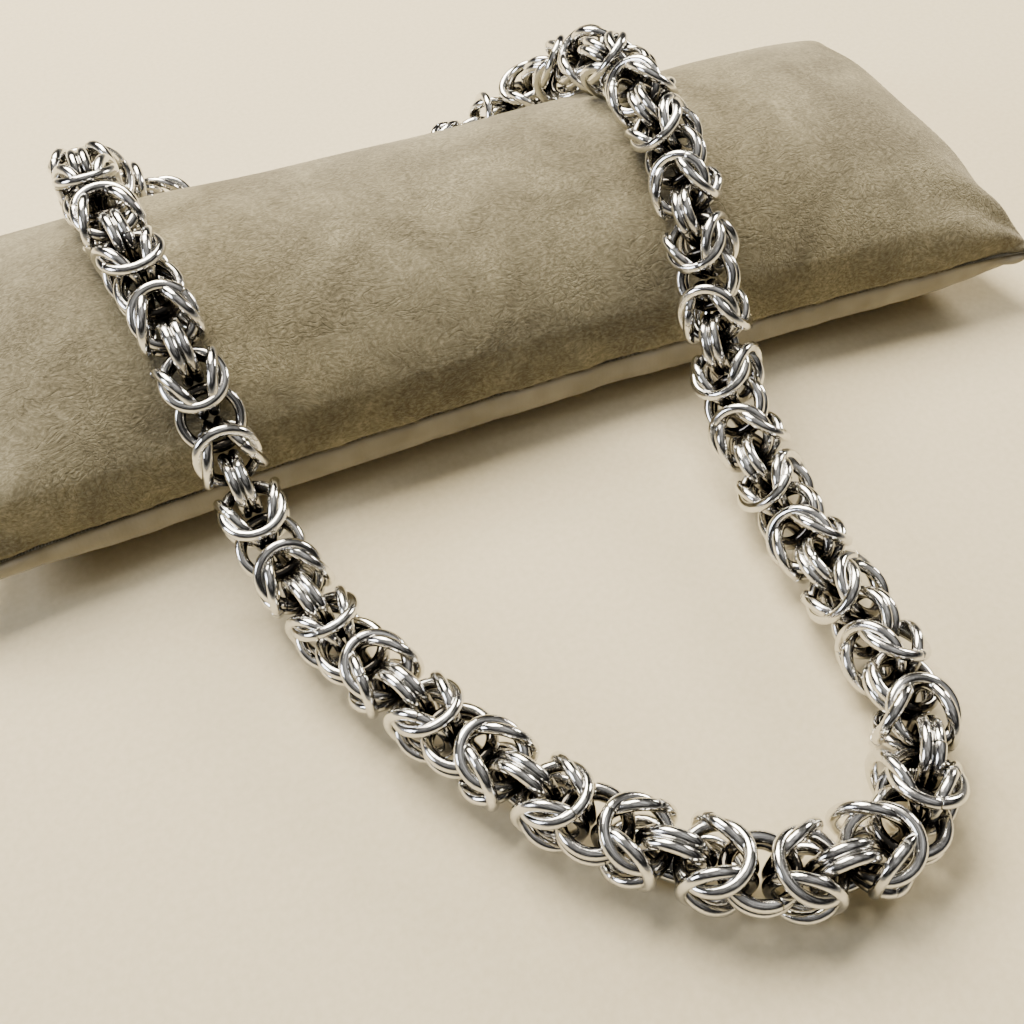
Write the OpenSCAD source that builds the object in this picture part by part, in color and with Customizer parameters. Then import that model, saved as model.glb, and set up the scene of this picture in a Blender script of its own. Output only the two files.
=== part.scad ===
// Byzantine chain necklace resting over a stuffed display pillow.
// Millimetres. The pillow lies along X, its front faces -Y, the floor is Z = 0.
// The chain is a whole closed loop: over the pillow on the left, round a corner
// on the floor in front, back over the pillow on the right, and down behind the
// pillow, where a plain barrel clasp with tapered caps joins its two ends.

/* [Rings] */
// thickness of the round wire
wire_d = 1.5; // [1:0.05:2.5]
// inside diameter of each jump ring
ring_id = 7.4; // [5:0.05:12]
// length taken by half a repeat of the weave
half_repeat = 10.75; // [8:0.05:16]
// number of half repeats from one end of the chain to the other
half_repeats = 40; // [4:1:60]
// where along the route the first pair of rings hangs
chain_start = 16.19; // [0:0.01:60]

/* [Weave] */
// half the distance between the two rings of a connecting pair, in wires
pair_gap = 0.554; // [0.5:0.001:1.2]
// how far a folded ring sits off the middle of the chain, in wires
fold_off = 1.804; // [1:0.001:3]
// how far a folded ring sits along the chain from its connecting pair, in wires
fold_along = 3.84; // [2:0.01:6]
// how far a folded ring leans outward
fold_lean = 23; // [0:0.1:60]

/* [Pillow] */
// half the length of the pillow
pillow_half_l = 98; // [60:1:160]
// width of the pillow in front of its crest, at the middle
pillow_front_w = 34.5; // [20:0.5:60]
// width of the pillow behind its crest, at the middle
pillow_back_w = 29; // [20:0.5:60]
// how much wider the front grows toward the ends of the pillow
front_flare = 0.16; // [0:0.01:0.5]
// how much wider the back grows toward the ends of the pillow
back_flare = 0.3; // [0:0.01:0.5]
// height of the stuffed top above the edge line
pillow_top_h = 23.8; // [10:0.1:50]
// height of the edge line above the floor at the middle
pillow_edge_z = 7; // [3:0.5:20]
// how much the edge line lifts toward the two ends
pillow_end_lift = 3; // [0:0.5:15]
// stuffed depth below the edge line before the floor flattens it
pillow_low_h = 10; // [4:0.5:20]
// where the seam runs above the widest line, as an angle round the section
seam_angle = 8; // [2:1:30]

/* [Clasp] */
// radius of the plain barrel
clasp_r = 3.4; // [2:0.1:5]
// length of the tapered cap at each end of the barrel
cap_l = 9; // [2:0.5:15]
// radius of a cap where its eyelet leaves it
cap_r = 1.6; // [1:0.1:3]
// radius of each eyelet, to the middle of its wire
eyelet_r = 3.3; // [2:0.1:5]
// thickness of the eyelet wire
eyelet_d = 1.4; // [1:0.1:2.5]

/* [Hidden] */
ring_r = (ring_id + wire_d) / 2;
// extra offset, shift and lean of a folded ring where the chain bends:
// toward the inside of the bend, toward the outside, and off to its sides
inner_bend = [6.85, -5.53, 302.8];
outer_bend = [3.55, -1.3, 136.5];
side_bend = [-1.26, -0.6, -3.3];
// columns of the route table
RX = 0;
RY = 1;
RZ = 2;
LEAN = 3;
ROLL = 4;
// the line through the middle of the chain: x, y, z, lean of the outward face
// from straight up, and roll of the weave about the chain
ROUTE = [
    [-29, 38, 6.6, -45, -90],
    [-42.5, 38.4, 8.8, -48, -90],
    [-53.5, 35.5, 17, -50, -90],
    [-59.2, 26.9, 28.8, -42, -90],
    [-59.7, 13.5, 37, -22, -90],
    [-57.7, -3, 38.4, 0, -90],
    [-55, -17.3, 35.7, 20, -90],
    [-53, -30.6, 28.5, 42, -90],
    [-51.5, -40.5, 18.2, 52, -90],
    [-49.8, -51.5, 10.2, 30, -90],
    [-46.5, -63.5, 6.8, 5, -90],
    [-40.5, -78, 6.5, 0, -90],
    [-33, -92.5, 6.4, 0, -90],
    [-23, -107.5, 6.4, 0, -90],
    [-10.5, -119.5, 6.4, 0, -90],
    [3, -125.5, 6.4, 0, -90],
    [15, -123.5, 6.4, 0, -90],
    [23, -114, 6.4, 0, -85],
    [26, -100.5, 6.4, 0, -65],
    [26.5, -85, 6.4, 0, -50],
    [27, -68, 6.8, 3, -45],
    [28, -53.5, 10.4, 25, -45],
    [29.5, -41.5, 18.8, 50, -45],
    [31, -30.9, 28.4, 42, -45],
    [32.5, -17.7, 35.5, 20, -45],
    [33.5, -3.5, 38.4, 0, -45],
    [34, 11.4, 36.9, -20, -45],
    [32.5, 24.3, 30.3, -41, -47],
    [27.3, 33.7, 20.5, -50, -55],
    [17, 37.9, 10.7, -50, -68],
    [3.5, 38.2, 6.8, -45, -82],
    [-11, 38, 6.6, -45, -90]
];
steps = 24;
route_n = len(ROUTE);

// smooth closed curve through the rows of the route table
function through(a, b, c, d, t) =
    0.5 * (2 * b + (c - a) * t + (2 * a - 5 * b + 4 * c - d) * t * t + (3 * b - a - 3 * c + d) * t * t * t);
function row(i) = ROUTE[(i + route_n) % route_n];
LINE = [
    for (i = [0 : route_n - 1])
        for (k = [0 : steps - 1])
            through(row(i - 1), row(i), row(i + 1), row(i + 2), k / steps)
];
line_n = len(LINE);
function place(r) = [r[RX], r[RY], r[RZ]];
function spot(i) = LINE[i % line_n];
LENGTHS = [
    for (i = 0, s = 0; i <= line_n; s = s + norm(place(spot(i + 1)) - place(spot(i))), i = i + 1) s
];
route_length = LENGTHS[line_n];
TABLE = [for (c = [RX : ROLL]) [for (i = [0 : line_n]) [LENGTHS[i], spot(i)[c]]]];
function wrap(s) = s < 0 ? s + route_length : s >= route_length ? s - route_length : s;
function value(c, s) = lookup(wrap(s), TABLE[c]);
function middle(s) = [value(RX, s), value(RY, s), value(RZ, s)];

// directions at a place along the route: along the chain, and across it
function unit(v) = v / norm(v);
function along(s) = unit(middle(s + 1.2) - middle(s - 1.2));
function outward(s) = let (t = along(s), a = value(LEAN, s), r = [0, -sin(a), cos(a)]) unit(r - (r * t) * t);
function face(s) = let (n = outward(s), b = cross(along(s), n), a = value(ROLL, s)) n * cos(a) + b * sin(a);
// how sharply the chain bends there, pointing to the inside of the bend
function bending(s) = (middle(s + 5.4) - 2 * middle(s) + middle(s - 5.4)) / 29.16 * wire_d;

// side a ring sits on, for half repeat k: its own face, or a quarter turn from it
function side(s, k, turned) =
    let (x = face(s), y = cross(along(s), x))
    k % 2 == 0 ? (turned ? y : x) : (turned ? -x : y);
// what a bend adds to a folded ring: offset, shift along, lean
function bend_change(c, all) =
    c > 0 ? inner_bend * c + side_bend * (all - c) : outer_bend * c + side_bend * (all + c);

// centre and axis of one folded ring; fold is 1 before the middle and -1 after
function folded(k, fold, hand) =
    let (
        f = fold > 0 ? fold_along * wire_d : half_repeat - fold_along * wire_d,
        s = chain_start + k * half_repeat + f,
        t = along(s),
        d = side(s, k, fold > 0) * hand,
        b = bending(s),
        m = bend_change(b * d, norm(b)),
        a = fold_lean + m[2]
    )
    [middle(s) + d * (fold_off + m[0]) * wire_d + t * fold * m[1] * wire_d, d * cos(a) - t * fold * sin(a)];
// centre and axis of one ring of a connecting pair
function connecting(k, hand) =
    let (s = chain_start + k * half_repeat, d = side(s, k, false) * hand)
    [middle(s) + d * pair_gap * wire_d, d];
RINGS = [
    for (k = [0 : half_repeats])
        for (hand = [1, -1])
            each (k == half_repeats
                ? [connecting(k, hand)]
                : [connecting(k, hand), folded(k, 1, hand), folded(k, -1, hand)])
];

// the whole thing moves back so that the origin is under the middle of its outline
function reach_y(r) = ring_r * sqrt(1 - pow(r[1][1] / norm(r[1]), 2)) + wire_d / 2;
front_y = min([for (r = RINGS) r[0][1] - reach_y(r)]);
back_y = max([for (r = RINGS) r[0][1] + reach_y(r)]);
module centred() {
    translate([0, -(front_y + back_y) / 2, 0])
        children();
}

module torus(r, w) {
    rotate_extrude($fn = 48)
        translate([r, 0])
            circle(d = w, $fn = 24);
}

module facing(c, n) {
    translate(c)
        rotate([0, acos(n[2] / norm(n)), atan2(n[1], n[0])])
            children();
}

module chain() {
    color([0.78, 0.78, 0.8])
        centred()
            for (r = RINGS)
                facing(r[0], r[1])
                    torus(ring_r, wire_d);
}

// barrel clasp between the two end pairs: each eyelet passes through its pair in
// line with the chain there, and the barrel runs from eyelet to eyelet
first_s = chain_start;
last_s = chain_start + half_repeats * half_repeat;
eyelet_at = ring_r - wire_d / 2 - eyelet_d / 2 - 0.45 + eyelet_r;
eyelet_a = middle(first_s) - along(first_s) * eyelet_at;
eyelet_b = middle(last_s) + along(last_s) * eyelet_at;
clasp_dir = unit(eyelet_b - eyelet_a);
barrel_from = eyelet_r - 0.3;
barrel_l = norm(eyelet_b - eyelet_a) - 2 * barrel_from - 2 * cap_l;
function eyelet_axis(s) = cross(along(s), face(s));

module clasp() {
    color([0.75, 0.75, 0.77])
        centred() {
            facing(eyelet_a, eyelet_axis(first_s))
                torus(eyelet_r, eyelet_d);
            facing(eyelet_b, eyelet_axis(last_s))
                torus(eyelet_r, eyelet_d);
            facing(eyelet_a + clasp_dir * barrel_from, clasp_dir) {
                cylinder(r1 = cap_r, r2 = clasp_r, h = cap_l, $fn = 48);
                translate([0, 0, cap_l])
                    cylinder(r = clasp_r, h = barrel_l, $fn = 48);
                translate([0, 0, cap_l + barrel_l])
                    cylinder(r1 = clasp_r, r2 = cap_r, h = cap_l, $fn = 48);
            }
        }
}

// pillow sections: u runs from end to end, the angle runs round the section
// from the front edge (0) over the top (90) to the back edge (180)
pillow_n = 40;
round_n = 26;
edge_t = 0.6;
function fullness(u) = sqrt(max(0, 1 - pow(abs(u), 5.8)));
function across(u, v) =
    v > 0 ? v * pillow_back_w * (1 + back_flare * u * u) : v * pillow_front_w * (1 + front_flare * u * u);
function edge_z(u) = pillow_edge_z + pillow_end_lift * pow(abs(u), 3);
function end_x(u, v) = u * pillow_half_l * (1 - 0.05 * (1 - v * v) * pow(abs(u), 6));
function above(u, s) = edge_z(u) + pillow_top_h * fullness(u) * pow(s, 1.12) + edge_t * s;
function below(u, s) = max(0, edge_z(u) - pillow_low_h * fullness(u) * pow(s, 0.9) - edge_t * s);
function skin(u, a) =
    let (v = -cos(a), s = abs(sin(a)))
    [end_x(u, v), across(u, v), sin(a) >= 0 ? above(u, s) : below(u, s)];
// the seam surface inside the pillow, shared by its two halves
function inside(u, j) =
    let (v = -cos(seam_angle) * cos(180 * j / round_n))
    [end_x(u, v), across(u, v), above(u, sin(seam_angle))];
function top_angle(j) = acos(cos(seam_angle) * cos(180 * j / round_n));
function low_angle(j) = seam_angle - (180 + 2 * seam_angle) * j / round_n;
function span_u(i) = sin(90 * (2 * i / pillow_n - 1));

function corner(i, j, deep) = i * (2 * round_n + 2) + j + (deep && j > 0 && j < round_n ? round_n + 1 : 0);
function quad(a, b, c, d, flip) =
    [for (t = [[a, b, c], [a, c, d]])
        if (t[0] != t[1] && t[1] != t[2] && t[0] != t[2]) flip ? [t[2], t[1], t[0]] : t];

// solid between an outer skin and the shared seam surface
module pillow_half(low) {
    points = [
        for (i = [0 : pillow_n]) each concat(
            [for (j = [0 : round_n]) skin(span_u(i), low ? low_angle(j) : top_angle(j))],
            [for (j = [0 : round_n]) inside(span_u(i), j)]
        )
    ];
    faces = [
        for (i = [0 : pillow_n - 1])
            for (j = [0 : round_n - 1])
                each concat(
                    quad(corner(i, j, false), corner(i + 1, j, false),
                        corner(i + 1, j + 1, false), corner(i, j + 1, false), !low),
                    quad(corner(i, j, true), corner(i + 1, j, true),
                        corner(i + 1, j + 1, true), corner(i, j + 1, true), low)
                ),
        for (j = [0 : round_n - 1])
            each concat(
                quad(corner(0, j, false), corner(0, j + 1, false),
                    corner(0, j + 1, true), corner(0, j, true), !low),
                quad(corner(pillow_n, j, false), corner(pillow_n, j + 1, false),
                    corner(pillow_n, j + 1, true), corner(pillow_n, j, true), low)
            )
    ];
    centred()
        polyhedron(points = points, faces = faces, convexity = 4);
}

module pillow_cover() {
    color([0.62, 0.58, 0.49])
        pillow_half(false);
}

module pillow_base() {
    color([0.8, 0.77, 0.68])
        pillow_half(true);
}

chain();
clasp();
pillow_cover();
pillow_base();
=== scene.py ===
# %% [markdown]
# # A byzantine chain on a display pillow
# The solids come from the CAD model through the frame. This script dresses
# them: every jump ring is drawn again as smooth wire with the cut that closes
# it, the pillow gets its suede cover, its seam and its pale underside, and the
# scene gets a plain floor, soft light and a camera at the photograph's angle.

# %% Frame and first measurements
import math
import bmesh
import bpy
import numpy as np
from mathutils import Matrix, Vector


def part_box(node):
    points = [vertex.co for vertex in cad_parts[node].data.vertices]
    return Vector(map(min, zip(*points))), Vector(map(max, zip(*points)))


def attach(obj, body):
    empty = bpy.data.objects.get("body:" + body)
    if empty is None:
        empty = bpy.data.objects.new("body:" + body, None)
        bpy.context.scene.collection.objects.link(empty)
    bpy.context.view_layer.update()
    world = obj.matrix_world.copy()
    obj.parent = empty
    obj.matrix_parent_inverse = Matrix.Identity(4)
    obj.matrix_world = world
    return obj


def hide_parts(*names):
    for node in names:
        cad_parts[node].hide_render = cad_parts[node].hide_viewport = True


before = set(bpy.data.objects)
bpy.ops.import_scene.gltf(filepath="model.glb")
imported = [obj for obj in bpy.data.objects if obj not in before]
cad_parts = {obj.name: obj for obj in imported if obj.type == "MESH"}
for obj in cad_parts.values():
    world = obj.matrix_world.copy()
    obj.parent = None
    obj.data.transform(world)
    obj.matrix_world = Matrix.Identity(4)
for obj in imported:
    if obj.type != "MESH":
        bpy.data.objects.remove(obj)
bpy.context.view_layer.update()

MM = 0.001
print("nodes:", sorted(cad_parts))

# %% [markdown]
# Two of these helpers serve every piece. One puts whole arrays of points and
# faces into a mesh at once, which is far quicker than adding them one by one.
# The other adds one node with its settings and links, and turns hex codes to
# linear colours, so a material reads as a list of what it is made of.

# %% Mesh and node helpers
def new_piece(name, points, faces, material, smooth=True):
    """A mesh object at the origin from points in millimetres and an index array."""
    mesh = bpy.data.meshes.new(name)
    faces = [f for f in faces if len(f)]
    sizes = np.concatenate([np.full(len(f), f.shape[1]) for f in faces])
    corners = np.concatenate([f.ravel() for f in faces])
    mesh.vertices.add(len(points))
    mesh.vertices.foreach_set("co", (np.asarray(points, float) * MM).ravel())
    mesh.loops.add(len(corners))
    mesh.loops.foreach_set("vertex_index", corners.astype(np.int32))
    mesh.polygons.add(len(sizes))
    starts = np.concatenate([[0], np.cumsum(sizes)[:-1]]).astype(np.int32)
    mesh.polygons.foreach_set("loop_start", starts)
    mesh.polygons.foreach_set("use_smooth", np.full(len(sizes), smooth))
    mesh.update(calc_edges=True)
    mesh.validate()
    obj = bpy.data.objects.new(name, mesh)
    bpy.context.scene.collection.objects.link(obj)
    mesh.materials.append(material)
    return obj


def sheet_faces(rows, cols, first=0, wrap=False):
    """Quads between neighbours of a grid that is stored row after row."""
    i = np.arange(rows - 1)[:, None]
    j = np.arange(cols if wrap else cols - 1)[None, :]
    k = (j + 1) % cols
    quads = np.stack([i * cols + j, (i + 1) * cols + j, (i + 1) * cols + k, i * cols + k], -1)
    return quads.reshape(-1, 4) + first


def hex_colour(code):
    """sRGB hex to the linear values a shader works in."""
    c = np.array([int(code[i:i + 2], 16) for i in (1, 3, 5)]) / 255
    lin = np.where(c <= 0.04045, c / 12.92, ((c + 0.055) / 1.055) ** 2.4)
    return tuple(float(x) for x in lin) + (1.0,)


def of_size(size):
    """Texture scale of a pattern whose cells are this many mm."""
    return 1 / (size * MM)


def add(mat, kind, inputs=None, stops=(), **settings):
    """Add one node with its properties, ramp stops, and sockets: links, values or hex codes."""
    node = mat.node_tree.nodes.new("ShaderNode" + kind)
    for key, value in settings.items():
        setattr(node, key, value)
    for key, value in (inputs or {}).items():
        if isinstance(value, bpy.types.NodeSocket):
            mat.node_tree.links.new(value, node.inputs[key])
        else:
            node.inputs[key].default_value = hex_colour(value) if isinstance(value, str) else value
    while stops and len(node.color_ramp.elements) < len(stops):
        node.color_ramp.elements.new(0.5)
    for mark, (place, code) in zip(node.color_ramp.elements if stops else (), stops):
        mark.position = place
        mark.color = hex_colour(code)
    return node


def blank(name):
    """A material with an empty tree and a Principled shader at its output."""
    mat = bpy.data.materials.new(name)
    mat.use_nodes = True
    mat.node_tree.nodes.clear()
    shader = add(mat, "BsdfPrincipled")
    add(mat, "OutputMaterial", {"Surface": shader.outputs[0]})
    return mat, shader


# %% [markdown]
# ## The route of the chain
# The necklace lies over the pillow on the left, comes forward on the table,
# turns a corner, goes back over the pillow on the right and closes behind it.
# One smooth closed curve through a few listed rows gives its middle line.
# Each row also holds how far the band leans and how far it is rolled, so that
# the broad faces of the weave show where they show on the real one. These are
# the same rows and the same formula as in the CAD source.

# %% Route rows
wire_d = 1.5
ring_inside = 7.4
ring_r = (ring_inside + wire_d) / 2
half_repeat = 10.75
half_repeats = 40
chain_start = 16.19
# x, y, z of the middle, lean of the outward face, roll of the weave
ROUTE = np.array([
    [-29, 38, 6.6, -45, -90], [-42.5, 38.4, 8.8, -48, -90],
    [-53.5, 35.5, 17, -50, -90], [-59.2, 26.9, 28.8, -42, -90],
    [-59.7, 13.5, 37, -22, -90], [-57.7, -3, 38.4, 0, -90],
    [-55, -17.3, 35.7, 20, -90], [-53, -30.6, 28.5, 42, -90],
    [-51.5, -40.5, 18.2, 52, -90], [-49.8, -51.5, 10.2, 30, -90],
    [-46.5, -63.5, 6.8, 5, -90], [-40.5, -78, 6.5, 0, -90],
    [-33, -92.5, 6.4, 0, -90], [-23, -107.5, 6.4, 0, -90],
    [-10.5, -119.5, 6.4, 0, -90], [3, -125.5, 6.4, 0, -90],
    [15, -123.5, 6.4, 0, -90], [23, -114, 6.4, 0, -85],
    [26, -100.5, 6.4, 0, -65], [26.5, -85, 6.4, 0, -50],
    [27, -68, 6.8, 3, -45], [28, -53.5, 10.4, 25, -45],
    [29.5, -41.5, 18.8, 50, -45], [31, -30.9, 28.4, 42, -45],
    [32.5, -17.7, 35.5, 20, -45], [33.5, -3.5, 38.4, 0, -45],
    [34, 11.4, 36.9, -20, -45], [32.5, 24.3, 30.3, -41, -47],
    [27.3, 33.7, 20.5, -50, -55], [17, 37.9, 10.7, -50, -68],
    [3.5, 38.2, 6.8, -45, -82], [-11, 38, 6.6, -45, -90],
], float)


def through(rows, steps=24):
    """Catmull-Rom curve: each span blends its two rows and their neighbours by cubes."""
    a, b, c, d = (np.roll(rows, s, axis=0)[:, None, :] for s in (1, 0, -1, -2))
    t = (np.arange(steps) / steps)[None, :, None]
    curve = 0.5 * (2 * b + (c - a) * t + (2 * a - 5 * b + 4 * c - d) * t ** 2
                   + (3 * b - a - 3 * c + d) * t ** 3)
    return curve.reshape(-1, rows.shape[1])


line = through(ROUTE)
line = np.vstack([line, line[:1]])
reach = np.concatenate([[0], np.cumsum(np.linalg.norm(np.diff(line[:, :3], axis=0), axis=1))])
loop_length = reach[-1]
print("the loop is %.1f mm round" % loop_length)

# %% [markdown]
# ## The byzantine weave
# The weave repeats one group of six rings: a connecting pair, then a pair
# folded back over each side, then the same again a quarter turn round. On the
# real chain each ring settles where its neighbours push it. Here every ring
# gets a centre and an axis from its place on the route, and where the chain
# bends, the folded rings spread, shift and lean by amounts that were tuned in
# the CAD source until no two solid rings touch.
#
# The drawn rings have a known fault. The folded rings of a half repeat lie 5.8
# and 5.0 mm along it, and weave() tells them apart by its middle at 5.4 mm, so
# each pair is drawn with the side and the lean of the other. A folded ring is
# then 0.8 mm from its solid, and 260 pairs of drawn rings cut into each other,
# 160 of them by 0.5 to 1.3 mm. The right test is whether part equals before.

# %% Directions along the route
# in wire thicknesses: how far each ring of a joining pair sits from the middle,
# and how far out and how far along a folded ring sits; then its lean
PAIR_GAP, FOLD_OFF, FOLD_ALONG = 0.554, 1.804, 3.84
FOLD_LEAN = math.radians(23)
# what a bend adds to a folded ring, as offset, shift along and lean: on the
# inside of the bend, on its outside, and to its sides
INNER = np.array([6.85, -5.53, math.radians(302.8)])
OUTER = np.array([3.55, -1.3, math.radians(136.5)])
SIDE = np.array([-1.26, -0.6, math.radians(-3.3)])
# distances ahead and behind, in mm, that give the direction and the bend
AHEAD, BEND_REACH = 1.2, 5.4


def unit(v):
    """v over its length."""
    return v / np.linalg.norm(v, axis=-1, keepdims=True)


def dot(a, b):
    """Sum of the products, row by row."""
    return (a * b).sum(-1, keepdims=True)


def route_at(s):
    """The five route values at distances s along the loop."""
    s = np.mod(s, loop_length)
    return np.stack([np.interp(s, reach, line[:, c]) for c in range(5)], -1)


def pose_at(s):
    """Middle, broad face, edge, direction and bend vector at distances s."""
    here = route_at(s)
    middle = here[:, :3]
    along = unit(route_at(s + AHEAD)[:, :3] - route_at(s - AHEAD)[:, :3])
    lean = np.radians(here[:, 3])
    roll = np.radians(here[:, 4:5])
    up = np.stack([0 * lean, -np.sin(lean), np.cos(lean)], -1)
    up = unit(up - dot(up, along) * along)
    face = up * np.cos(roll) + np.cross(along, up) * np.sin(roll)
    bend = route_at(s + BEND_REACH)[:, :3] - 2 * middle + route_at(s - BEND_REACH)[:, :3]
    return middle, face, np.cross(along, face), along, bend / BEND_REACH ** 2 * wire_d


# %% Centre and axis of every ring
def weave():
    """Ring centres and axes: pairs at each half repeat, turned by a quarter each time."""
    k = np.arange(half_repeats + 1)
    centres, axes, order = [], [], []
    before = FOLD_ALONG * wire_d
    for kind, part in (("joining", 0.0), ("fold", before), ("fold", half_repeat - before)):
        kk = k if kind == "joining" else k[:-1]
        middle, face, edge, along, bend = pose_at(chain_start + kk * half_repeat + part)
        odd = (kk % 2 == 1)[:, None]
        x, y = np.where(odd, edge, face), np.where(odd, -face, edge)
        # the known fault: before is past the middle, so this swaps the folded pairs
        fold = 1 if 0 < part < half_repeat / 2 else -1
        for hand in (1, -1):
            side = hand * (y if kind == "fold" and fold == 1 else x)
            if kind == "joining":
                centres.append(middle + side * PAIR_GAP * wire_d)
                axes.append(side)
            else:
                c, size = dot(bend, side), np.linalg.norm(bend, axis=1, keepdims=True)
                change = (np.maximum(c, 0) * INNER + np.minimum(c, 0) * OUTER
                          + (size - abs(c)) * SIDE)
                off, shift, tilt = change[:, :1], change[:, 1:2], FOLD_LEAN + change[:, 2:]
                aside = side * (FOLD_OFF + off) * wire_d
                centres.append(middle + aside + along * fold * shift * wire_d)
                axes.append(side * np.cos(tilt) - along * fold * np.sin(tilt))
            order.append(kk + part / half_repeat)
    order = np.concatenate(order)
    rank = np.argsort(order, kind="stable")
    return np.concatenate(centres)[rank], unit(np.concatenate(axes))[rank], order[rank]


centres, axes, order = weave()
spread = ring_r * np.sqrt(1 - axes[:, 1] ** 2) + wire_d / 2
shift_y = -((centres[:, 1] - spread).min() + (centres[:, 1] + spread).max()) / 2
centres[:, 1] += shift_y
low, high = np.array(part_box("chain"), float) / MM
reach_out = ring_r * np.sqrt(1 - axes ** 2) + wire_d / 2
box_low, box_high = (centres - reach_out).min(0), (centres + reach_out).max(0)
miss = max(abs(box_low - low).max(), abs(box_high - high).max())
print("%d rings; moved back %.2f mm; off the CAD box by %.3f mm" % (len(centres), shift_y, miss))

# %% [markdown]
# ## Polished steel wire
# The rings are wound from bright stainless wire and tumbled, so they mirror
# the light and the dark round them, with the faint lines of the drawn wire and
# shallow dents and rubs from the tumbling. The insides of the weave get painted
# shade: the colour darkens toward the middle of the band, where the rings shade
# each other. The mesh carries two attributes for this: how far into the band
# each point lies, and where it lies along and round its wire, so that the drawn
# lines run with the wire. Dents are 0.7 mm apart and rubs 2.2 mm; the lines are
# 0.18 mm wide and about 3 mm long, a little coarser than real ones so that they
# show. As a metal it keeps the default IOR, and its roughness stays between
# 0.07 and 0.22.

# %% Steel materials
def wire_lines(mat, place, drawn):
    """Noise drawn out along the wire, or an even one of 1.1 mm where there is no wire to follow."""
    lines_per_mm, grains_per_m = (0.3, 5.5, 5.5), (900, 900, 900)
    if drawn:
        place = add(mat, "Attribute", attribute_name="wire").outputs["Vector"]
    stretched = add(mat, "Mapping", {"Vector": place, "Scale": lines_per_mm if drawn else grains_per_m})
    return add(mat, "TexNoise", {"Vector": stretched.outputs[0], "Scale": 1.0, "Detail": 2.0,
                                 "Roughness": 0.55}).outputs["Fac"]


def polished_steel(name, lines_and_painted_shade):
    """Tumbled stainless wire: metallic, low roughness, small dents and rubs."""
    mat, shader = blank(name)
    links = mat.node_tree.links
    place = add(mat, "TexCoord").outputs["Object"]
    dents = add(mat, "TexNoise", {"Vector": place, "Scale": of_size(0.7), "Detail": 3.0, "Roughness": 0.6})
    rubs = add(mat, "TexNoise", {"Vector": place, "Scale": of_size(2.2), "Detail": 5.0, "Roughness": 0.7})
    rough = add(mat, "MapRange", {"Value": rubs.outputs["Fac"], "From Min": 0.35, "From Max": 0.7,
                                  "To Min": 0.07, "To Max": 0.22})
    dented = add(mat, "Bump", {"Height": dents.outputs["Fac"], "Strength": 0.4, "Distance": 0.05 * MM})
    bump = add(mat, "Bump", {"Height": wire_lines(mat, place, lines_and_painted_shade), "Strength": 0.35,
                             "Distance": 0.03 * MM, "Normal": dented.outputs[0]})
    colour = add(mat, "ValToRGB", {"Fac": rubs.outputs["Fac"]},
                 stops=[(0.3, "#eeedea"), (0.75, "#d6d5d2")])
    # painted shade: the wire colour is mixed toward dark grey #47443f in the middle of the band, where the
    # rings shade each other
    if lines_and_painted_shade:
        painted_shade_mask = add(mat, "Attribute", attribute_name="depth").outputs["Fac"]
        colour = add(mat, "Mix", {"Factor": painted_shade_mask, "A": colour.outputs[0], "B": "#47443f"},
                     data_type="RGBA")
    links.new(colour.outputs["Result" if lines_and_painted_shade else "Color"], shader.inputs["Base Color"])
    links.new(rough.outputs[0], shader.inputs["Roughness"])
    links.new(bump.outputs[0], shader.inputs["Normal"])
    shader.inputs["Metallic"].default_value = 1.0
    return mat


steel = polished_steel("tumbled_stainless_wire", lines_and_painted_shade=True)
clasp_steel = polished_steel("polished_stainless_clasp", lines_and_painted_shade=False)
print(steel.name, "and", clasp_steel.name)

# %% [markdown]
# ## Drawing the rings
# A jump ring is a turn of wire sawn from a coil and bent shut, so it is an
# open arc whose two flat ends meet in a hairline, a little out of line. The
# wire is a circle carried along that arc; its last turns narrow slightly to
# the sawn edge, and each end is closed with a fan. All rings share one face
# pattern, so whole strands are built as single arrays. The solids are kept a
# tenth of a millimetre or more apart so that each stays its own. The drawn wire
# is a quarter of a millimetre thicker to look as close as real rings that
# touch, and that alone makes the closest ones overlap by a tenth.

# %% One ring as a swept wire
turns, around = 46, 14
extra_wire = 0.24
wire_r = (wire_d + extra_wire) / 2
rng = np.random.default_rng(7)
cut_at = rng.uniform(0, 2 * np.pi, len(centres))
slip = rng.uniform(-0.07, 0.07, len(centres))
half_cut = 0.055 / ring_r
# the sawn edge, the end of its narrow rim and the full wire, in mm from the cut
ends = np.array([0, 0.05, 0.2]) / ring_r + half_cut
between = np.linspace(ends[-1], 2 * np.pi - ends[-1], turns)[1:-1]
sweep = np.concatenate([ends, between, 2 * np.pi - ends[::-1]])
# the wire's thickness there, as a share of the full one
thick = np.ones(len(sweep))
thick[[0, -1]] = 0.86
thick[[1, -2]] = 0.97
loops = len(sweep)
print("wire %.2f mm thick, %d loops of %d points a ring" % (2 * wire_r, loops, around))


def ring_points(c, n, start, out_of_line):
    """Circle carried round each ring: c + R radial + r (radial cos + axis sin), ends slipped aside."""
    ref = np.where(abs(n[:, 2:3]) < 0.9, [[0.0, 0.0, 1.0]], [[1.0, 0.0, 0.0]])
    p = unit(np.cross(ref, n))
    q = np.cross(n, p)
    a = start[:, None] + sweep[None, :]
    radial = np.cos(a)[..., None] * p[:, None] + np.sin(a)[..., None] * q[:, None]
    drift = (out_of_line[:, None] * np.cos(sweep / 2)[None, :] ** 9)[..., None] * n[:, None]
    core = c[:, None] + ring_r * radial + drift
    b = np.linspace(0, 2 * np.pi, around, endpoint=False)
    r = (wire_r * thick)[None, :, None, None]
    tube = core[:, :, None] + r * (np.cos(b)[None, None, :, None] * radial[:, :, None]
                                   + np.sin(b)[None, None, :, None] * n[:, None, None])
    return tube, core[:, [0, -1]]


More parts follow.
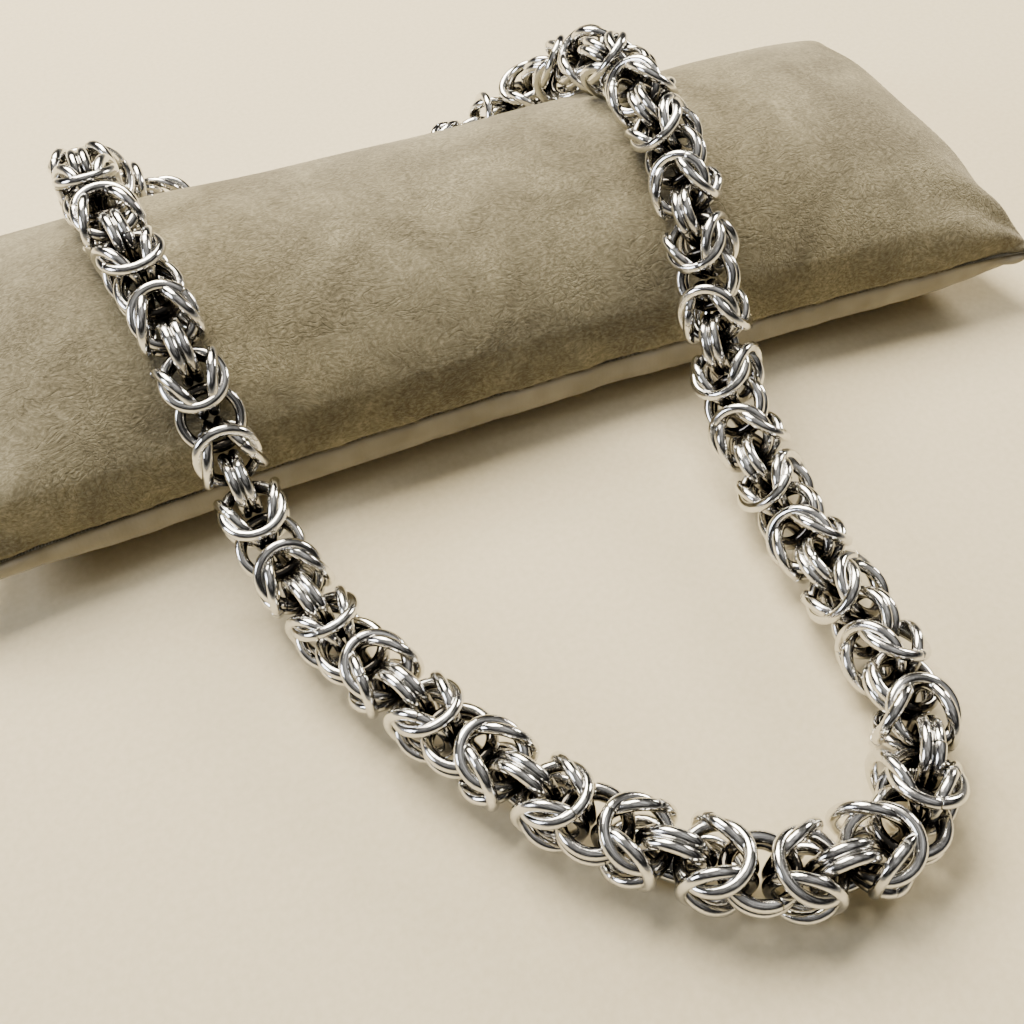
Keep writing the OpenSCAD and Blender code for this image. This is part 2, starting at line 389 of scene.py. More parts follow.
def ring_faces(count):
    """Faces of one ring, repeated with an offset for every ring of the strand."""
    size = loops * around + 2
    quads = sheet_faces(loops, around, wrap=True)[:, ::-1]
    j = np.arange(around)
    k = (j + 1) % around
    head = np.stack([k, j, np.full(around, size - 2)], -1)
    last = (loops - 1) * around
    tail = np.stack([last + j, last + k, np.full(around, size - 1)], -1)
    step = (np.arange(count) * size)[:, None, None]
    fans = np.concatenate([head, tail])
    return (quads[None] + step).reshape(-1, 4), (fans[None] + step).reshape(-1, 3)


# %% [markdown]
# Each strand carries its two attributes for the steel. The first, which sets
# the painted shade, is 0 at the rim of the band and 1 near its middle, from how
# far a point lies from the middle line. Travel is the distance along the wire,
# with 40 mm between one ring and the next so that no two rings show the same
# lines, and the place across it.

# %% Ring strands
band_half, shade_reach, ring_apart = 5.1, 2.6, 40.0


def depth_in_band(points, pick):
    """Painted shade, 0 to 1: (half the band less the distance from the middle line) over the reach, to
    1.3.
    """
    middle, _, _, along, _ = pose_at(chain_start + order[pick] * half_repeat)
    rel = points - (middle + [0, shift_y, 0])[:, None]
    rel = rel - dot(rel, along[:, None]) * along[:, None]
    return np.clip((band_half - np.linalg.norm(rel, axis=-1)) / shade_reach, 0, 1) ** 1.3


def wire_travel(pick, count):
    """Along the wire, and the two places across it, in mm, at each point of each ring."""
    b = np.linspace(0, 2 * np.pi, around, endpoint=False)
    run = (sweep[None] * ring_r + ring_apart * np.flatnonzero(pick)[:, None])[..., None]
    travel = np.stack([run + 0 * b, wire_r * np.cos(b) + 0 * run, wire_r * np.sin(b) + 0 * run], -1)
    tips = travel[:, [0, -1], 0] * [1, 0, 0]
    return np.concatenate([travel.reshape(count, -1, 3), tips], axis=1)


def strand(name, pick):
    """One piece of the chain from the rings that pick selects."""
    tube, tips = ring_points(centres[pick], axes[pick], cut_at[pick], slip[pick])
    count = len(tube)
    points = np.concatenate([tube.reshape(count, -1, 3), tips], axis=1)
    quads, fans = ring_faces(count)
    obj = new_piece(name, points.reshape(-1, 3), [quads, fans], steel)
    layer = obj.data.attributes.new("wire", "FLOAT_VECTOR", "POINT")
    layer.data.foreach_set("vector", wire_travel(pick, count).ravel().astype(np.float32))
    # how far into the band each point lies, which sets the painted shade
    layer = obj.data.attributes.new("depth", "FLOAT", "POINT")
    layer.data.foreach_set("value", depth_in_band(points, pick).ravel().astype(np.float32))
    obj.data.set_sharp_from_angle(angle=math.radians(50))
    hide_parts("chain")
    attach(obj, "root")
    print(name, count, "rings,", len(quads) * 2 + len(fans), "triangles")


# three strands of a third each, so that every piece stays under 200,000 triangles
strands = ("chain_left", "chain_front", "chain_right")
group = np.minimum(order / half_repeats * len(strands), len(strands) - 1).astype(int)
for number, name in enumerate(strands):
    strand(name, group == number)

# %% [markdown]
# ## The clasp
# The clasp lies behind the pillow and joins the two end pairs. It is turned
# from steel, so its barrel is a profile spun about its own line: a plain body
# between two tapered caps, with a fine groove where each cap meets it and
# another where the halves screw together. A wire eyelet at each end passes
# through the last pair of rings, in line with the chain there, and the barrel
# runs from eyelet to eyelet.

# %% Where the clasp lies
ends_at = np.array([chain_start, chain_start + half_repeats * half_repeat])
end_mid, _, end_edge, end_along, _ = pose_at(ends_at)
eyelet_r, eyelet_d, clasp_r, cap_l, cap_r = 3.3, 1.4, 3.4, 9.0, 1.6
play = 0.45
eyelet_at = ring_r - wire_d / 2 - eyelet_d / 2 - play + eyelet_r
eyelet_mid = end_mid + [0, shift_y, 0] + end_along * eyelet_at * np.array([[-1], [1]])
clasp_way = unit(eyelet_mid[1] - eyelet_mid[0])
barrel_from = eyelet_r - 0.3
body_l = np.linalg.norm(eyelet_mid[1] - eyelet_mid[0]) - 2 * barrel_from
print("clasp barrel %.1f mm long, %.1f mm across" % (body_l, 2 * clasp_r))


# %% Turned and bent shapes
def frame_of(n):
    """Two unit directions square to n."""
    ref = np.array([0.0, 0.0, 1.0]) if abs(n[2]) < 0.9 else np.array([1.0, 0.0, 0.0])
    p = unit(np.cross(ref, n))
    return p, np.cross(n, p)


def lathe(name, profile, start, way, material, around=64):
    """A profile of (along, radius) spun about a line and closed at both poles."""
    p, q = frame_of(way)
    b = np.linspace(0, 2 * np.pi, around, endpoint=False)
    circle = np.cos(b)[:, None] * p + np.sin(b)[:, None] * q
    z, r = np.asarray(profile, float).T
    grid = start + z[:, None, None] * way + r[:, None, None] * circle[None]
    tips = np.stack([start + z[0] * way, start + z[-1] * way])
    n = len(z)
    quads = sheet_faces(n, around, wrap=True)[:, ::-1]
    j = np.arange(around)
    k = (j + 1) % around
    fans = np.concatenate([np.stack([k, j, np.full(around, n * around)], -1),
                           np.stack([(n - 1) * around + j, (n - 1) * around + k,
                                     np.full(around, n * around + 1)], -1)])
    return new_piece(name, np.concatenate([grid.reshape(-1, 3), tips]), [quads, fans], material)


def eyelet(name, centre, axis, material, turns=64, around=20):
    """A closed ring of wire: c + (R + r cos b) radial + r sin b axis."""
    p, q = frame_of(axis)
    a = np.linspace(0, 2 * np.pi, turns + 1)
    b = np.linspace(0, 2 * np.pi, around, endpoint=False)
    radial = np.cos(a)[:, None] * p + np.sin(a)[:, None] * q
    radius = (eyelet_r + eyelet_d / 2 * np.cos(b))[None, :, None]
    rise = (eyelet_d / 2 * np.sin(b))[None, :, None]
    grid = centre + radial[:, None] * radius + rise * axis
    quads = sheet_faces(turns + 1, around, wrap=True)[:, ::-1]
    quads = np.where(quads >= turns * around, quads - turns * around, quads)
    return new_piece(name, grid[:-1].reshape(-1, 3), [quads], material)


# %% Clasp pieces
tip_r, tip_l = cap_r + 0.05, 0.5
groove, seam_cut = clasp_r - 0.25, clasp_r - 0.18
# rounded tip, tapered cap, groove behind the cap, half the seam in the middle
half = [(tip_l * (1 - math.cos(t)), cap_r - 0.5 + 0.55 * math.sin(t))
        for t in np.linspace(0, np.pi / 2, 7)]
half += [(tip_l + (cap_l - 1.2) * t, tip_r + (clasp_r - tip_r) * t ** 0.9)
         for t in np.linspace(0.08, 1, 12)]
half += [(cap_l - 0.5, clasp_r), (cap_l - 0.38, groove), (cap_l + 0.1, groove)]
half += [(cap_l + 0.22, clasp_r), (body_l / 2 - 0.16, clasp_r), (body_l / 2 - 0.05, seam_cut)]
profile = half + [(body_l - z, r) for z, r in half[::-1]]
barrel_end = eyelet_mid[0] + clasp_way * barrel_from
clasp_pieces = [lathe("clasp_barrel", profile, barrel_end, clasp_way, clasp_steel)]
for i, name in enumerate(("clasp_eyelet_a", "clasp_eyelet_b")):
    clasp_pieces.append(eyelet(name, eyelet_mid[i], end_edge[i], clasp_steel))
for obj in clasp_pieces:
    obj.data.set_sharp_from_angle(angle=math.radians(40))
    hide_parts("clasp")
    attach(obj, "root")
print([obj.name for obj in clasp_pieces])

# %% [markdown]
# ## The stuffed pillow
# The pillow is a sewn bag packed firm with fibre, so its section is a fat
# crown over a slightly pressed base, and its sides pull in between the
# corners. It is worked out as one skin: u runs from end to end and a turns
# round the section. Onto that come the marks of sewing: shallow waves from
# the fibre, puckers that fade away from the seam, and folds that fan out from
# each corner. Last, the skin swells until it meets the rings and gives way
# under them, so that the chain lies in the nap as a heavy chain does.

# %% Pillow skin
seam_angle = math.radians(8)
pillow_l, front_w, back_w = 98.0, 34.5, 29.0
crown_h, base_h, edge_t = 23.8, 10.0, 0.6
# shares of the length and width: ends pulled in, back and front flared at the corners
end_pull, back_flare, front_flare = 0.065, 0.3, 0.16


def edge_height(u):
    """Height of the seam: 7 mm in the middle, 3 mm more at the ends by the cube of u."""
    return 7 + 3 * abs(u) ** 3


def plan(u, v):
    """Place in plan: u along and v across, ends pulled in between the corners, sides flared."""
    x = u * pillow_l * (1 - end_pull * (1 - v * v) * abs(u) ** 5)
    y = v * np.where(v > 0, back_w * (1 + back_flare * u * u), front_w * (1 + front_flare * u * u))
    return x, y + shift_y


def skin(u, a):
    """Section at u: half width times cos a across, crown or base height by powers of sin a."""
    s = abs(np.sin(a))
    full = np.sqrt(np.maximum(0, 1 - abs(u) ** 5.2))
    x, y = plan(u, -np.cos(a))
    above = edge_height(u) + crown_h * full * s ** 1.12 + edge_t * s
    below = np.maximum(0, edge_height(u) - base_h * full * s ** 0.9 - edge_t * s)
    return np.stack([x, y, np.where(np.sin(a) >= 0, above, below)], -1)


def grid_normals(grid, outward):
    """Unit normals of a point grid from its two directions of travel."""
    across = np.gradient(grid, axis=0)
    round_it = np.gradient(grid, axis=1)
    n = np.cross(across, round_it)
    n = n / np.maximum(np.linalg.norm(n, axis=-1, keepdims=True), 1e-9)
    return n if outward else -n


def waves(x, y, seed, lengths):
    """Smooth unevenness: a sum of sines of given lengths in seeded directions."""
    r = np.random.default_rng(seed)
    total = 0
    for length in lengths:
        way, phase = r.uniform(0, np.pi), r.uniform(0, 2 * np.pi)
        total = total + np.sin(2 * np.pi * (x * np.cos(way) + y * np.sin(way)) / length + phase)
    return total / len(lengths)


print("pillow %.0f mm long, %.1f mm high" % (2 * pillow_l, edge_height(0) + crown_h + edge_t))

# %% Marks of sewing and filling
# lengths in mm: swells of the filling, gathers along the seam and finer ones
SWELLS, GATHERS, FINE_GATHERS = (34, 47, 61, 28), (5.2, 7.9, 11.3, 6.4), (3.1, 4.3)
stitch_l, stitch_w, pucker_reach = 2.6, 0.5, 7.0
corner_out, fold_away, fold_reach, fold_count = 38, 12, 11, 11


def corner_folds(x, y):
    """Fan of folds round each corner: sine of the turning angle, strongest 12 mm away."""
    folds = 0
    for end in (-1, 1):
        for side in (-1, 1):
            dx, dy = (x - end * pillow_l) * -end, (y - shift_y - side * corner_out) * -side
            away = np.hypot(dx, dy) + 1e-6
            fan = np.sin(np.arctan2(dy, dx) * fold_count + 1.3 * end + 2.1 * side + 0.05 * away)
            folds = folds + 0.5 * fan * np.exp(-((away - fold_away) / fold_reach) ** 2)
    return folds


def cloth_marks(points, girth, from_seam):
    """Height of waves, seam puckers and corner folds, in mm, at each point."""
    x = points[..., 0]
    lumps = 0.5 * waves(x, girth, 3, SWELLS)
    gather = waves(x, 0 * x, 5, GATHERS) + 0.5 * waves(x, 0 * x, 6, FINE_GATHERS)
    puckers = 0.34 * gather * np.exp(-(from_seam / pucker_reach) ** 1.3)
    stitch = 0.5 + 0.5 * np.sin(2 * np.pi * x / stitch_l)
    dip = -(0.36 + 0.16 * stitch) * np.exp(-(from_seam / stitch_w) ** 1.6)
    flat_end = np.clip((1 - abs(x) / pillow_l) / 0.06, 0, 1)
    folds = corner_folds(x, points[..., 1])
    return (lumps + folds) * flat_end + puckers * np.clip(flat_end + 0.3, 0, 1) + dip


# %% [markdown]
# How far the cloth may rise is set by the rings. Each wire point above the
# skin allows a shallow bowl round itself, and the lowest of all those bowls is
# the highest place the cloth can be. Where no ring is near, it rises by the
# loft of the nap and stuffing alone.

# %% Cloth gives way under the rings
tube, _ = ring_points(centres, axes, cut_at, slip * 0)
wire_line = tube[:, ::3].mean(axis=2).reshape(-1, 3)
air, bowl_r, dent_reach, free = 0.06, 5.0, 7.0, 9.0
print(len(wire_line), "points along the wires shape the dents")


def room_under_rings(points, normals):
    """Lowest, over the wire points near by, of height less wire radius plus a parabola."""
    flat_p, flat_n = points.reshape(-1, 3), normals.reshape(-1, 3)
    room = np.full(len(flat_p), free)
    low, high = flat_p.min(0) - dent_reach - 1, flat_p.max(0) + dent_reach + 1
    wires = wire_line[((wire_line > low) & (wire_line < high)).all(1)]
    for part in np.array_split(np.argsort(flat_p[:, 0]), 160):
        p, n = flat_p[part], flat_n[part]
        near = wires[abs(wires[:, 0] - (p[0, 0] + p[-1, 0]) / 2) < (p[-1, 0] - p[0, 0]) / 2 + dent_reach]
        if not len(near):
            continue
        d = near[None] - p[:, None]
        height = (d * n[:, None]).sum(-1)
        aside = (d ** 2).sum(-1) - height ** 2
        allowed = height - wire_d / 2 - air + aside / (2 * bowl_r)
        allowed = np.where((aside < dent_reach ** 2) & (height > -4), allowed, free)
        room[part] = np.minimum(room[part], allowed.min(1))
    return room.reshape(points.shape[:-1])


# %% [markdown]
# Each half of the pillow is a closed shell. Its outer skin is fine, with more
# cells near the seam and the ends, where the marks are small. Inside, it is
# closed by the surface that both halves share, with one row of cells for every
# ten of the skin, and a small cap at each end joins the two.

# %% Skin, lining and caps of one half
lining_step = 10
cover_loft, base_loft, base_rise, loft_reach, thread_w = 1.5, 0.3, 0.4, 8.0, 0.26


def skin_grid(top, cells_u, cells_a):
    """u by a sine and a line, a crowded toward the seams; the skin and its girth and normals."""
    u = np.sin(np.linspace(-np.pi / 2, np.pi / 2, cells_u + 1))
    u = 0.55 * u + 0.45 * np.linspace(-1, 1, cells_u + 1)
    t = np.linspace(0, 1, cells_a + 1)
    t = t - 0.65 * np.sin(2 * np.pi * t) / (2 * np.pi)
    if top:
        a = np.arccos(np.cos(seam_angle) * np.cos(np.pi * t))
        a[[0, -1]] = seam_angle, np.pi - seam_angle
    else:
        a = seam_angle - (np.pi + 2 * seam_angle) * t
    uu, aa = np.meshgrid(u, a, indexing="ij")
    base = skin(uu, aa)
    step = np.linalg.norm(np.diff(base, axis=1), axis=-1)
    girth = np.concatenate([np.zeros((len(u), 1)), np.cumsum(step, axis=1)], axis=1)
    out = grid_normals(base, outward=not top)
    height = (base[..., 2] - edge_height(uu)) * 2
    facing = np.stack([0 * uu, base[..., 1] - shift_y, height], -1)
    return uu, t, base, girth, out * np.sign(dot(out, facing).mean())


def lining(uu, t, points):
    """The shared surface: every tenth column, level with the seam, meeting it at both sides."""
    u, v = uu[:, ::lining_step], -np.cos(seam_angle) * np.cos(np.pi * t[::lining_step])[None]
    inner = skin(u, np.full(u.shape, seam_angle))
    inner[..., 0], inner[..., 1] = plan(u, v)
    inner[:, 0], inner[:, -1] = points[:, 0], points[:, -1]
    return inner


def end_caps(rows, cols, across):
    """Faces that join ten edges of the skin to one of the lining, at both ends."""
    j, run = np.arange(across - 1)[:, None], np.arange(lining_step + 1)[None]
    first = rows * cols
    return np.concatenate([
        np.concatenate([row * cols + lining_step * j + run, first + row * across + j + 1,
                        first + row * across + j], axis=1) for row in (0, rows - 1)])


# %% Pillow halves
def half_pillow(name, top, material, node, cells_u=320, cells_a=190):
    """Skin moved out by its marks and loft, less where a ring is near, then closed."""
    uu, t, base, girth, out = skin_grid(top, cells_u, cells_a)
    from_seam = np.minimum(girth, girth[:, -1:] - girth)
    ends = np.clip((1 - abs(uu)) / 0.05, 0, 1)
    loft = (cover_loft if top else base_loft) * ends * np.clip(from_seam / loft_reach, 0, 1)
    lift = cloth_marks(base, girth, from_seam) + loft
    if top:
        lift = lift + np.minimum(room_under_rings(base + out * lift[..., None], out), 0)
    else:
        lift = np.minimum(lift, base_rise)
    points = base + out * lift[..., None]
    points[..., 2] = np.maximum(points[..., 2], 0.0)
    inner = lining(uu, t, points)
    (rows, cols), across = uu.shape, inner.shape[1]
    quads = np.concatenate([sheet_faces(rows, cols), sheet_faces(rows, across, first=rows * cols)])
    obj = new_piece(name, np.concatenate([points.reshape(-1, 3), inner.reshape(-1, 3)]),
                    [quads, end_caps(rows, cols, across)], material)
    on_skin = np.exp(-(from_seam / thread_w) ** 2).ravel()
    near_seam = np.concatenate([on_skin, np.zeros(inner.size // 3)])
    layer = obj.data.attributes.new("seam", "FLOAT", "POINT")
    layer.data.foreach_set("value", near_seam.astype(np.float32))
    bm = bmesh.new()
    bm.from_mesh(obj.data)
    bmesh.ops.remove_doubles(bm, verts=bm.verts, dist=1e-6)
    bmesh.ops.recalc_face_normals(bm, faces=bm.faces)
    bm.to_mesh(obj.data)
    bm.free()
    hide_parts(node)
    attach(obj, "root")
    print(name, len(obj.data.polygons), "faces; lift %.2f to %.2f mm" % (lift.min(), lift.max()))


# %% [markdown]
# ## Suede and underside
# The cover is brushed suede cloth. Its fibres are short and lie in strokes,
# one way where a hand brushed it and another way beside that, over soft
# blotches of wear. Two stretched noises of 0.34 mm draw the two ways of
# brushing, and a wandering offset bends them; a soft grain of 0.8 mm lies under
# both. The real fibres are finer and are drawn this coarse so that they show.

# %% Nap of the suede
def wandering(mat, place):
    """The place, pushed aside by up to 2 mm by a slow noise of 7 mm."""
    wander = add(mat, "TexNoise", {"Vector": place, "Scale": of_size(7), "Detail": 2.0})
    drift = add(mat, "VectorMath", {0: wander.outputs["Color"], 1: (0.5, 0.5, 0.5)},
                operation="SUBTRACT")
    drift = add(mat, "VectorMath", {0: drift.outputs[0], "Scale": 4 * MM}, operation="SCALE")
    return add(mat, "VectorMath", {0: place, 1: drift.outputs[0]}, operation="ADD").outputs[0]


def nap_height(mat, moved, brushed):
    """Strokes one way or the other, chosen by the brushed patches, plus a soft grain."""
    strokes = []
    for angle, squeeze in ((20, 0.5), (72, 0.55)):
        laid = add(mat, "Mapping", {"Vector": moved, "Rotation": (0, 0, math.radians(angle)),
                                    "Scale": (squeeze, 1.0, 1.0)})
        strokes.append(add(mat, "TexNoise", {"Vector": laid.outputs[0], "Scale": of_size(0.34),
                                             "Detail": 2.5, "Roughness": 0.62}).outputs["Fac"])
    which = add(mat, "MapRange", {"Value": brushed, "From Min": 0.42, "From Max": 0.6})
    fibres = add(mat, "Mix", {"Factor": which.outputs[0], "A": strokes[0], "B": strokes[1]})
    pebble = add(mat, "TexVoronoi", {"Vector": moved, "Scale": of_size(0.8)}, feature="SMOOTH_F1")
    grain = add(mat, "Math", {0: pebble.outputs["Distance"], 1: 0.24, 2: fibres.outputs["Result"]},
                operation="MULTIPLY_ADD")
    return add(mat, "Math", {0: grain.outputs[0], 1: 0.11}, operation="SUBTRACT").outputs[0]


# %% [markdown]
# Handling has cracked the nap like fine leather in some places, with cells of
# about a millimetre, and creased it in others, with short lines 2.4 mm apart.
# A crease is where a noise crosses its middle value, and a crack is the edge
# between two cells. Both are 0 at the line and 1 beside it, and the greater of
# line and mask keeps them out of the places that stayed smooth.

# %% Creases and cracks
def creases_and_cracks(mat, place, moved, brushed):
    """1 on smooth nap, less in a crease or a crack."""
    turned = add(mat, "Mapping", {"Vector": moved, "Rotation": (0, 0, math.radians(52)),
                                  "Scale": (0.4, 1.0, 1.0)})
    folds = add(mat, "TexNoise", {"Vector": turned.outputs[0], "Scale": of_size(2.4),
                                  "Detail": 1.5, "Distortion": 1.2})
    middle = add(mat, "Math", {0: folds.outputs["Fac"], 1: 0.5}, operation="SUBTRACT")
    middle = add(mat, "Math", {0: middle.outputs[0]}, operation="ABSOLUTE")
    line = add(mat, "MapRange", {"Value": middle.outputs[0], "From Min": 0.0, "From Max": 0.05})
    calm = add(mat, "MapRange", {"Value": brushed, "From Min": 0.46, "From Max": 0.56})
    creases = add(mat, "Math", {0: line.outputs[0], 1: calm.outputs[0]}, operation="MAXIMUM")
    cells = add(mat, "TexVoronoi", {"Vector": moved, "Scale": of_size(0.95)}, feature="DISTANCE_TO_EDGE")
    crack = add(mat, "MapRange", {"Value": cells.outputs["Distance"], "From Min": 0.0, "From Max": 0.14})
    worn_in = add(mat, "TexNoise", {"Vector": place, "Scale": of_size(26), "Detail": 2.0})
    smooth = add(mat, "MapRange", {"Value": worn_in.outputs["Fac"], "From Min": 0.58, "From Max": 0.46,
                                   "To Min": 0.15, "To Max": 1.0})
    cracks = add(mat, "Math", {0: crack.outputs[0], 1: smooth.outputs[0]}, operation="MAXIMUM")
    both = add(mat, "Math", {0: creases.outputs[0], 1: cracks.outputs[0]}, operation="MULTIPLY")
    return both.outputs[0]


# %% [markdown]
# Colour follows the height of the nap, times the blotches of wear, with a
# little painted shade in the creases and cracks, and the sewing thread where the
# seam attribute says so.
# Sheen gives the pale rim of fibres that stand up at the edge, and the cloth
# is very rough with hardly any gloss.

# %% Suede cloth
def brushed_suede(name):
    """Short nap brushed two ways, with worn patches, creases and a soft sheen."""
    mat, shader = blank(name)
    links = mat.node_tree.links
    place = add(mat, "TexCoord").outputs["Object"]
    moved = wandering(mat, place)
    brushed = add(mat, "TexNoise", {"Vector": place, "Scale": of_size(17), "Detail": 2.0,
                                    "Distortion": 0.4}).outputs["Fac"]
    patches = add(mat, "TexNoise", {"Vector": place, "Scale": of_size(17), "Detail": 5.0,
                                    "Roughness": 0.62, "Distortion": 0.5})
    fibres = nap_height(mat, moved, brushed)
    creases = creases_and_cracks(mat, place, moved, brushed)
    nap = add(mat, "ValToRGB", {"Fac": fibres},
              stops=[(0.32, "#7c7665"), (0.5, "#968f7d"), (0.68, "#b1aa97")])
    worn = add(mat, "ValToRGB", {"Fac": patches.outputs["Fac"]},
               stops=[(0.38, "#b5b09f"), (0.5, "#c9c5b3"), (0.61, "#dcd8c4")])
    cloth = add(mat, "Mix", {"Factor": 1.0, "A": nap.outputs[0], "B": worn.outputs[0]},
                data_type="RGBA", blend_type="MULTIPLY")
    # painted shade: the cloth colour drops to 0.86 in creases and cracks
    shade = add(mat, "MapRange", {"Value": creases, "To Min": 0.86, "To Max": 1.01})
    shaded = add(mat, "VectorMath", {0: cloth.outputs["Result"], "Scale": shade.outputs[0]},
                 operation="SCALE")
    seam = add(mat, "Attribute", attribute_name="seam").outputs["Fac"]
    sewn = add(mat, "Mix", {"Factor": seam, "A": shaded.outputs[0], "B": "#5a523f"}, data_type="RGBA")
    tuned = add(mat, "HueSaturation", {"Color": sewn.outputs["Result"], "Hue": 0.505, "Value": 1.04,
                                       "Saturation": 0.9})
    creased = add(mat, "Bump", {"Height": creases, "Strength": 0.4, "Distance": 0.16 * MM})
    raised = add(mat, "Bump", {"Height": fibres, "Strength": 0.42, "Distance": 0.22 * MM,
                               "Normal": creased.outputs[0]})
    links.new(tuned.outputs[0], shader.inputs["Base Color"])
    links.new(raised.outputs[0], shader.inputs["Normal"])
    shader.inputs["Roughness"].default_value = 0.95
    shader.inputs["Specular IOR Level"].default_value = 0.15
    shader.inputs["Sheen Weight"].default_value = 0.35
    shader.inputs["Sheen Roughness"].default_value = 0.5
    shader.inputs["Sheen Tint"].default_value = hex_colour("#e8e0cc")
    return mat


# %% [markdown]
# The underside is a paler plain-woven cotton. Two crossed sets of ridges 0.8 mm
# apart are its threads, and the higher of the two is on top. Real threads are
# about half that apart, too fine to show. The pattern leans 45 degrees, so that
# it lies the same on the flat base and on the steep strip below the seam.

# %% Cotton underside and the two halves
def plain_cotton(name):
    """Plain weave: two crossed sets of threads, the higher one on top, in an uneven dull tone."""
    mat, shader = blank(name)
    links = mat.node_tree.links
    place = add(mat, "TexCoord").outputs["Object"]
    uneven = add(mat, "TexNoise", {"Vector": place, "Scale": of_size(6), "Detail": 2.0})
    leaning = add(mat, "Mapping", {"Vector": place, "Rotation": (math.radians(45), 0, 0)})
    wave = {"Vector": leaning.outputs[0], "Scale": math.pi / 10 * of_size(0.8), "Distortion": 1.5,
            "Detail": 1.5, "Detail Scale": 2.0}
    threads = [add(mat, "TexWave", wave, bands_direction=way).outputs["Fac"] for way in ("X", "Y")]
    woven = add(mat, "Math", {0: threads[0], 1: threads[1]}, operation="MAXIMUM")
    tone = add(mat, "ValToRGB", {"Fac": uneven.outputs["Fac"]}, stops=[(0.3, "#8c8677"), (0.7, "#a09a8b")])
    bump = add(mat, "Bump", {"Height": woven.outputs[0], "Strength": 0.25, "Distance": 0.06 * MM})
    seam = add(mat, "Attribute", attribute_name="seam").outputs["Fac"]
    sewn = add(mat, "Mix", {"Factor": seam, "A": tone.outputs[0], "B": "#564e3c"}, data_type="RGBA")
    links.new(sewn.outputs["Result"], shader.inputs["Base Color"])
    links.new(bump.outputs[0], shader.inputs["Normal"])
    shader.inputs["Roughness"].default_value = 0.9
    shader.inputs["Specular IOR Level"].default_value = 0.2
    shader.inputs["Sheen Weight"].default_value = 0.15
    return mat


suede = brushed_suede("brushed_suede_cloth")
cotton = plain_cotton("plain_cotton_underside")
half_pillow("pillow_suede_cover", True, suede, "pillow_cover")
half_pillow("pillow_cotton_base", False, cotton, "pillow_base", 300, 120)

# %% [markdown]
# ## Floor, light and camera
# The table is a plain pale floor. The real light is a broad window above and
# behind the pillow, which leaves the front slope and the strip below it in
# soft shade and puts long white stripes on the wire. One big soft light stands
# there, a smaller one fills from the left, and a third gives the strand on the
# right its own stripe.

# %% Floor
def pale_floor(name):
    """Matt cream board with faint mottling of 1.1 mm."""
    mat, shader = blank(name)
    place = add(mat, "TexCoord").outputs["Object"]
    mottle = add(mat, "TexNoise", {"Vector": place, "Scale": of_size(1.1), "Detail": 3.0})
    tone = add(mat, "ValToRGB", {"Fac": mottle.outputs["Fac"]}, stops=[(0.3, "#d4c8a6"), (0.7, "#dcd0b0")])
    mat.node_tree.links.new(tone.outputs[0], shader.inputs["Base Color"])
    shader.inputs["Roughness"].default_value = 0.85
    shader.inputs["Specular IOR Level"].default_value = 0.2
    return mat


half_floor = 4000.0
corner = np.array([[-1, -1, 0], [1, -1, 0], [1, 1, 0], [-1, 1, 0]]) * half_floor
board = pale_floor("plain_cream_floor")
floor = new_piece("floor", corner, [np.array([[0, 1, 2, 3]])], board, smooth=False)
print("floor %.0f m across" % (2 * half_floor * MM))

# %% Lights
def soft_light(name, where, aim, size, watts, colour):
    """A square area light at a place in mm, turned toward another."""
    data = bpy.data.lights.new(name, "AREA")
    data.shape = "SQUARE"
    data.size = size * MM
    data.energy = watts
    data.color = hex_colour(colour)[:3]
    obj = bpy.data.objects.new(name, data)
    bpy.context.scene.collection.objects.link(obj)
    obj.location = Vector(where) * MM
    obj.rotation_euler = (Vector(aim) - Vector(where)).to_track_quat("-Z", "Y").to_euler()


soft_light("window_behind", (-60, 400, 560), (0, 10, 0), 420, 15.2, "#fff4e0")
soft_light("fill_left", (-560, 40, 300), (0, 0, 20), 200, 2.2, "#f1f4ff")
soft_light("strip_right", (520, 120, 300), (0, -20, 20), 130, 2.6, "#fff6e8")

# %% [markdown]
# The surroundings are a sky of one colour ramp over height. It is dim at the
# level of the table, dark a little higher, which draws the dark lines on the
# wire, and bright overhead. A slow noise breaks the bright part into patches,
# as windows and furniture do, so that each ring mirrors something different.

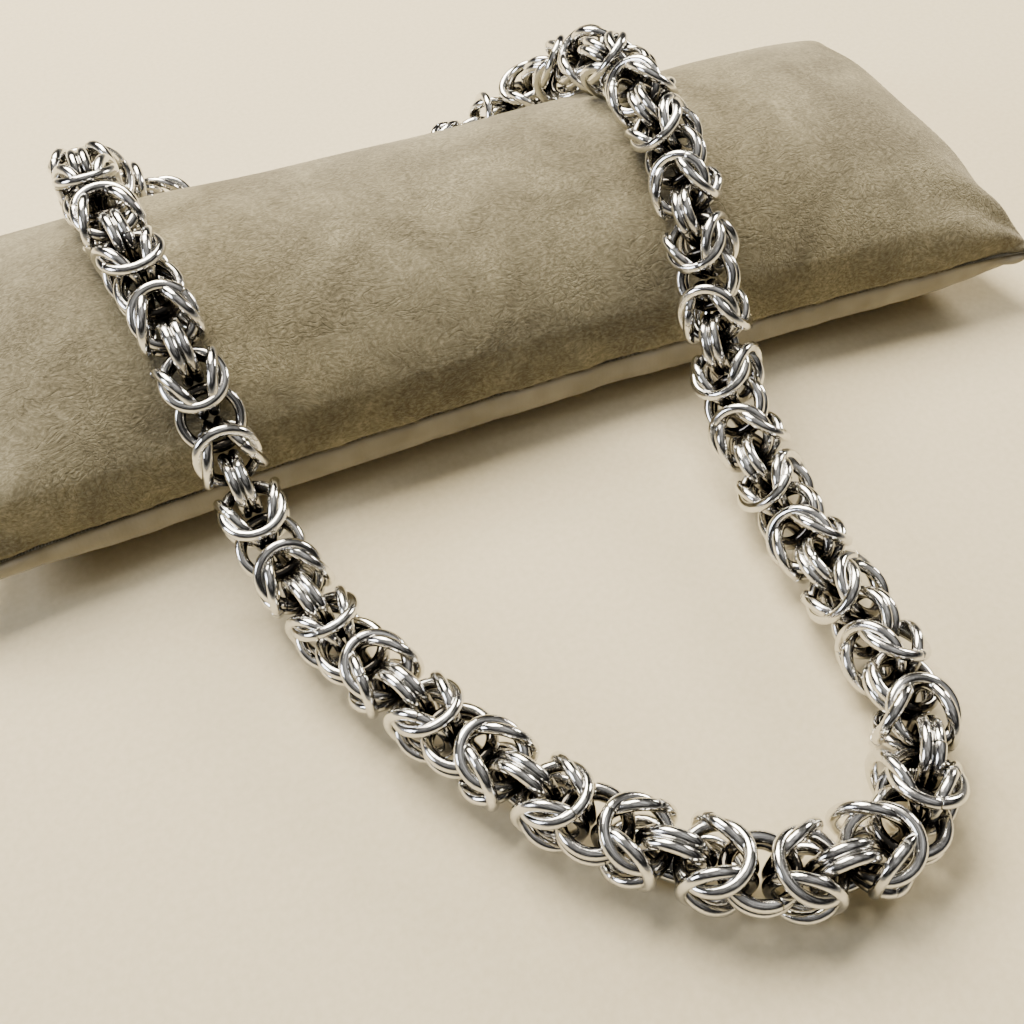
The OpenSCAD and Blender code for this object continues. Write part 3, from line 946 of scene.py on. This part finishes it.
# %% Surroundings
world = bpy.data.worlds.new("studio")
bpy.context.scene.world = world
world.use_nodes = True
world.node_tree.nodes.clear()
where = add(world, "TexCoord").outputs["Generated"]
split = add(world, "SeparateXYZ", {"Vector": where})
height = add(world, "MapRange", {"Value": split.outputs["Z"], "From Min": -0.1, "From Max": 1.0})
sky = add(world, "ValToRGB", {"Fac": height.outputs[0]},
          stops=[(0.0, "#88847b"), (0.2, "#88847b"), (0.34, "#2b2a29"),
                 (0.52, "#272626"), (0.78, "#8a8886"), (0.97, "#dbd9d6")])
uneven = add(world, "TexNoise", {"Vector": where, "Scale": 2.6, "Detail": 2.0, "Roughness": 0.6})
patchy = add(world, "ValToRGB", {"Fac": uneven.outputs["Fac"]},
             stops=[(0.38, "#494847"), (0.5, "#a3a29f"), (0.62, "#ffffff")])
high_up = add(world, "MapRange", {"Value": split.outputs["Z"], "From Min": 0.2, "From Max": 0.4,
                                  "To Max": 0.85})
room = add(world, "Mix", {"Factor": high_up.outputs[0], "A": sky.outputs[0], "B": patchy.outputs[0]},
           data_type="RGBA", blend_type="MULTIPLY")
backdrop = add(world, "Background", {"Color": room.outputs["Result"], "Strength": 1.35})
add(world, "OutputWorld", {"Surface": backdrop.outputs[0]})
print("surroundings of", len(world.node_tree.nodes), "nodes")

# %% [markdown]
# The camera stands where the photograph was taken from: above the front left,
# looking down at 50 degrees, turned 19 degrees from square on to the pillow,
# with the picture tipped 3 degrees. Its three directions make its matrix.

# %% Camera
eye = np.array([-51.2, -164.9 + shift_y, 146.0])
look = unit(np.array([0.2117, 0.6012, -0.7705]))
heading, tip = math.radians(19.4), math.radians(2.95)
right = unit(np.array([math.cos(heading), -math.sin(heading), 0]))
above = np.cross(right, look)
level, square = right, above
right = level * math.cos(tip) - square * math.sin(tip)
above = level * math.sin(tip) + square * math.cos(tip)
focal_px, picture_px, sensor = 1150, 1024, 36
camera = bpy.data.objects.new("camera", bpy.data.cameras.new("camera"))
camera.data.sensor_width = sensor
camera.data.lens = focal_px / picture_px * sensor
camera.data.clip_start = 0.01
camera.data.clip_end = 20
turn = np.eye(4)
turn[:3, 0], turn[:3, 1], turn[:3, 2] = right, above, -look
turn[:3, 3] = eye * MM
camera.matrix_world = Matrix(turn.tolist())
bpy.context.scene.collection.objects.link(camera)
bpy.context.scene.camera = camera
print("camera %.0f mm from the floor, lens %.1f mm" % (eye[2], camera.data.lens))
